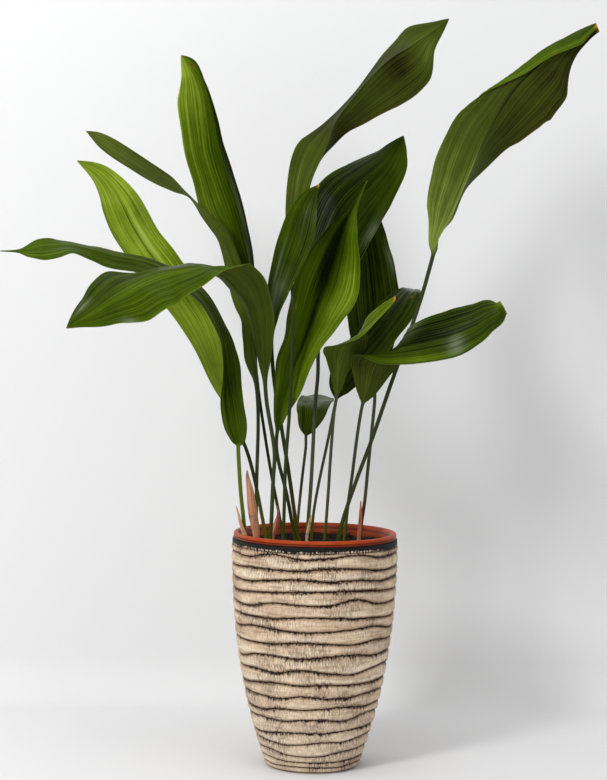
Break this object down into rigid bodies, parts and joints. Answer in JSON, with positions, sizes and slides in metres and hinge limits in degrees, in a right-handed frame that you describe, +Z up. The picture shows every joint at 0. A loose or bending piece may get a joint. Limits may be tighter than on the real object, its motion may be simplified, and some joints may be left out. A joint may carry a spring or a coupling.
{
  "type": "potted cast iron plant",
  "caption": "Potted cast iron plant: long stalked green leaves in an orange nursery pot of soil, set in a tall ribbed beige ceramic planter.",
  "frame": {"origin": "centre of the planter's flat underside", "axes": "+Z up along the planter's axis, -Y towards the viewer of the picture, +X to the viewer's right"},
  "size_m": [0.674, 0.3446, 0.8615],
  "materials": {
    "planter_ceramic": "washed matt glaze",
    "pot_plastic": "satin",
    "soil": "loose, matt",
    "leaf": "waxy, glossy above",
    "dry_sheath": "dry, matt"
  },
  "bodies": {
    "root": {"planter": "planter_ceramic", "nursery_pot": "pot_plastic", "soil": "soil", "leaf_a": "leaf", "leaf_b": "leaf", "leaf_c": "leaf", "leaf_d": "leaf", "leaf_e": "leaf", "leaf_f": "leaf", "leaf_g": "leaf", "leaf_h": "leaf", "leaf_i": "leaf", "leaf_j": "leaf", "leaf_k": "leaf", "leaf_l": "leaf", "leaf_m": "leaf", "leaf_n": "leaf", "leaf_o": "leaf", "sheath_large": "dry_sheath", "sheath_curled": "dry_sheath", "sheath_red": "dry_sheath", "sheath_narrow": "dry_sheath", "sheath_brown": "dry_sheath"}
  },
  "joints": []
}
